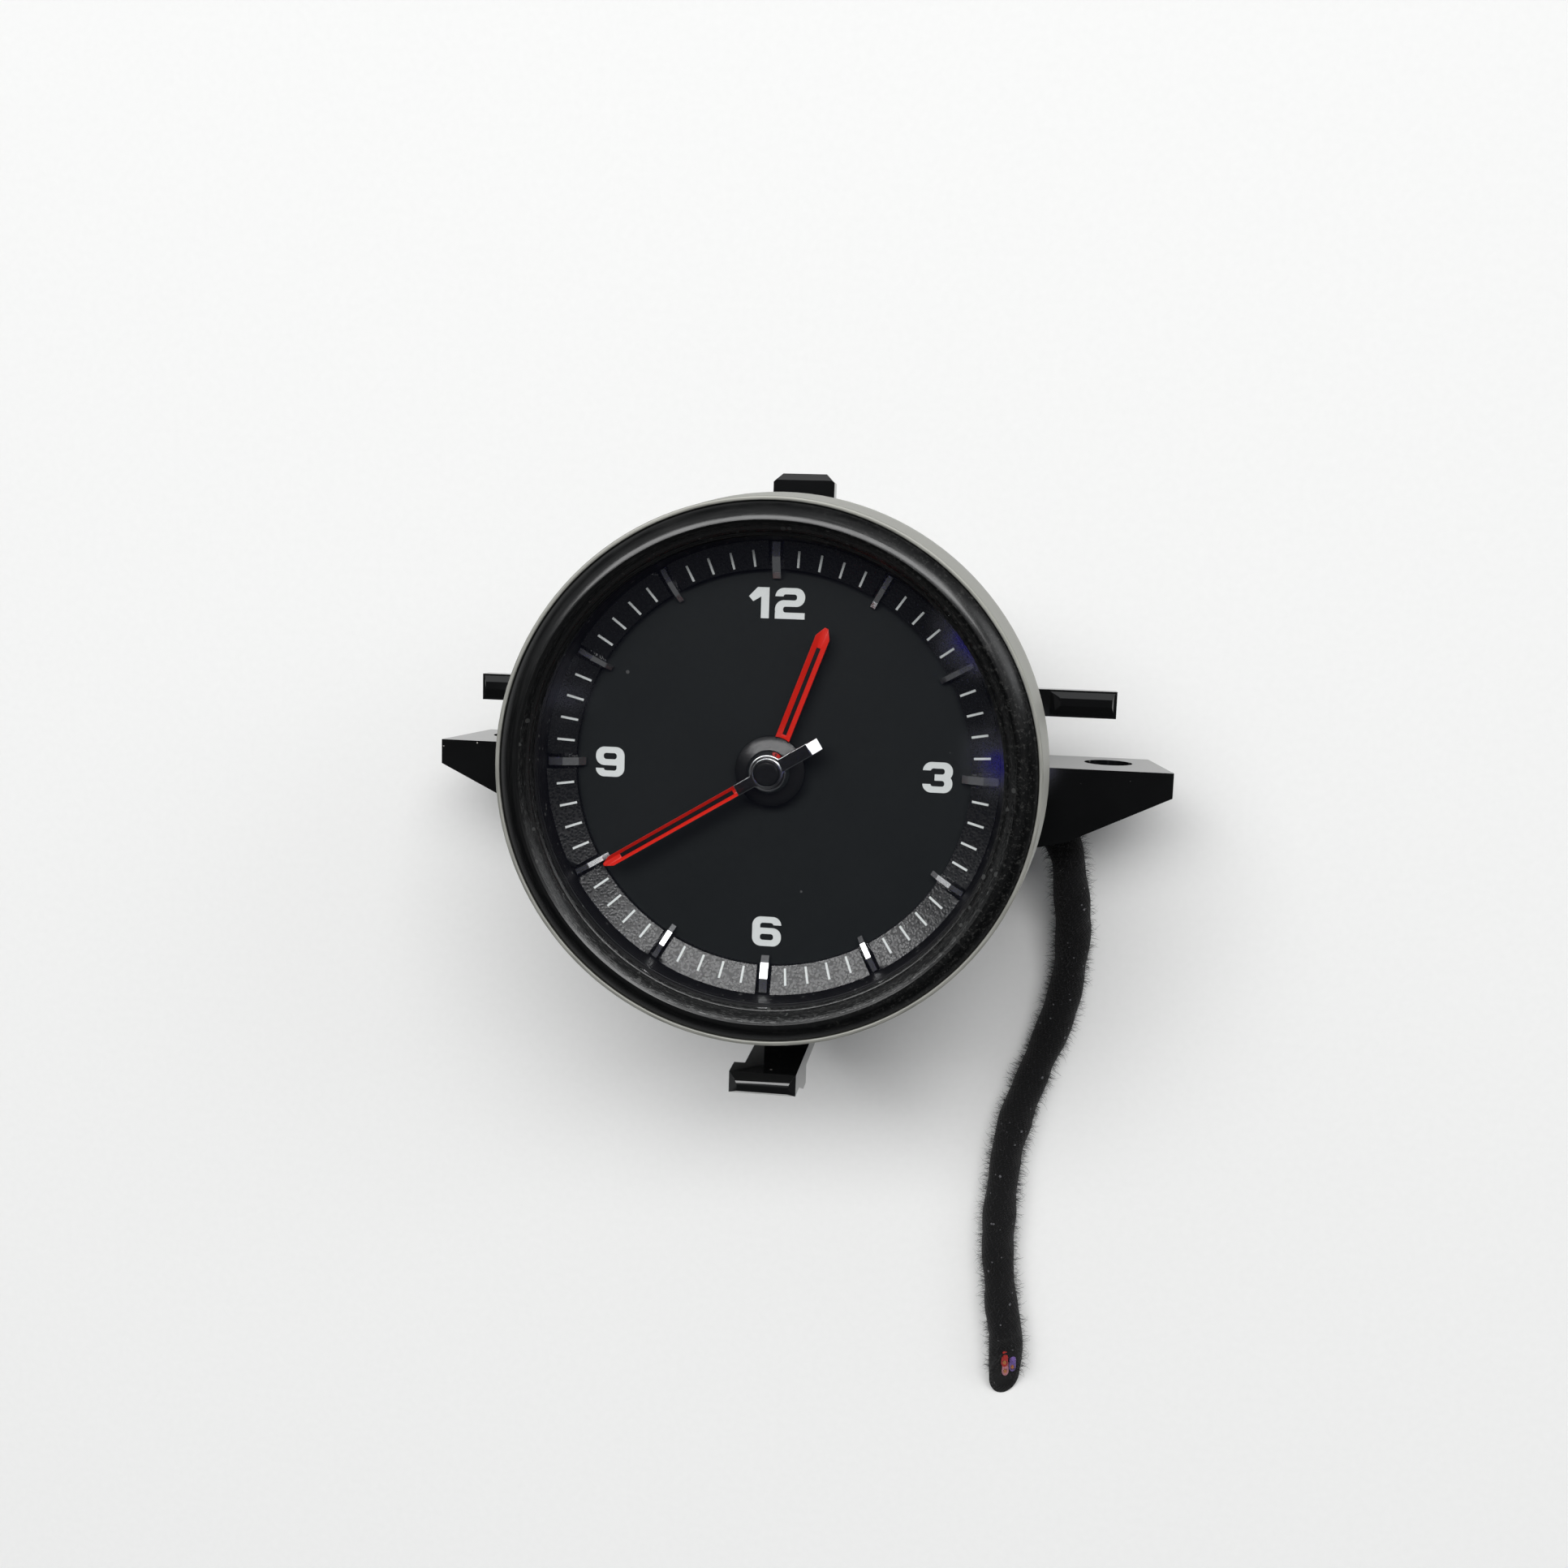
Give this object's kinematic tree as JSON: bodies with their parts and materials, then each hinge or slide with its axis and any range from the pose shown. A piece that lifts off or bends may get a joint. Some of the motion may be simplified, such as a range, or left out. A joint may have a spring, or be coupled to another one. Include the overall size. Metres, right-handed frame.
{
  "type": "car dashboard clock",
  "caption": "Round analogue car dashboard clock with a black bezel, silver trim ring, red hands, side wings, locating lugs and a taped wiring loom.",
  "frame": {"origin": "on the dial axis in the plane of the back cover, on which the clock lies", "axes": "+Z along the dial axis out of the face, +Y to 12 o'clock, +X to 3 o'clock"},
  "size_m": [0.104, 0.1413, 0.053],
  "materials": {
    "bezel_black": "satin",
    "trim_silver": "satin",
    "lens_clear": "gloss",
    "seal_rubber": "matte",
    "ring_grey": "matte",
    "print_white": "matte",
    "bar_chrome": "gloss",
    "dial_black": "matte",
    "guide_clear": "gloss",
    "lamp_white": "gloss",
    "hand_red": "gloss",
    "inlay_black": "satin",
    "hub_black": "gloss",
    "boss_chrome": "gloss",
    "steel": "satin",
    "brass": "satin",
    "gear_plastic": "satin",
    "magnet_dark": "satin",
    "stator_steel": "satin",
    "copper": "satin",
    "plate_plastic": "matte",
    "board_green": "satin",
    "chip_black": "matte",
    "contact_tin": "satin",
    "housing_black": "satin",
    "plug_black": "satin",
    "loom_tape": "matte",
    "wire_colours": "satin"
  },
  "bodies": {
    "case": {"bezel": "bezel_black", "trim_ring": "trim_silver", "lens": "lens_clear", "lens_seal": "seal_rubber", "spacer_ring": "bezel_black", "chapter_ring": "ring_grey", "minute_marks": "print_white", "hour_bars": "bar_chrome", "dial": "dial_black", "numerals": "print_white", "light_guide": "guide_clear", "lamps": "lamp_white", "motion_stud": "steel", "stator": "stator_steel", "coil_core": "stator_steel", "coil_bobbin": "gear_plastic", "coil": "copper", "front_plate": "plate_plastic", "back_plate": "plate_plastic", "pillars": "plate_plastic", "board_posts": "plate_plastic", "movement_screws": "steel", "plate_screws": "steel", "circuit_board": "board_green", "clock_chip": "chip_black", "crystal": "steel", "capacitor": "chip_black", "resistors": "chip_black", "socket": "plug_black", "socket_pins": "contact_tin", "plug": "plug_black", "terminals": "contact_tin", "loom": "loom_tape", "wire_ends": "wire_colours", "housing": "housing_black", "back_cover": "housing_black", "cover_screws": "steel"},
    "minute_shaft": {"minute_hand": "hand_red", "minute_inlay": "inlay_black", "minute_boss": "boss_chrome", "cap_ring": "boss_chrome", "minute_cap": "hub_black", "centre_arbor": "steel", "centre_wheel": "brass", "cannon_pinion": "brass"},
    "hour_sleeve": {"hour_hand": "hand_red", "hour_inlay": "inlay_black", "hour_hub": "hub_black", "hour_wheel": "gear_plastic"},
    "motion_pair": {"minute_wheel": "gear_plastic"},
    "third_pair": {"third_wheel": "gear_plastic", "third_arbor": "steel"},
    "rotor": {"rotor_magnet": "magnet_dark", "rotor_pinion": "steel"}
  },
  "joints": [
    {"name": "minute_turn", "type": "hinge", "parent": "case", "child": "minute_shaft", "pos_m": [0, 0, 0.03], "axis": [0, 0, -1], "continuous": true},
    {"name": "hour_turn", "type": "hinge", "parent": "case", "child": "hour_sleeve", "pos_m": [0, 0, 0.03], "axis": [0, 0, -1], "continuous": true},
    {"name": "motion_turn", "type": "hinge", "parent": "case", "child": "motion_pair", "pos_m": [0, -0.008, 0.03], "axis": [0, 0, -1], "continuous": true},
    {"name": "third_turn", "type": "hinge", "parent": "case", "child": "third_pair", "pos_m": [0, 0.0098, 0.03], "axis": [0, 0, -1], "continuous": true},
    {"name": "rotor_turn", "type": "hinge", "parent": "case", "child": "rotor", "pos_m": [0.0072, 0.0098, 0.03], "axis": [0, 0, -1], "continuous": true}
  ],
  "couplings": [
    {"joint": "hour_turn", "follows": "minute_turn", "ratio": 0.083333},
    {"joint": "motion_turn", "follows": "minute_turn", "ratio": -0.33333},
    {"joint": "third_turn", "follows": "minute_turn", "ratio": -6},
    {"joint": "rotor_turn", "follows": "minute_turn", "ratio": 30}
  ]
}
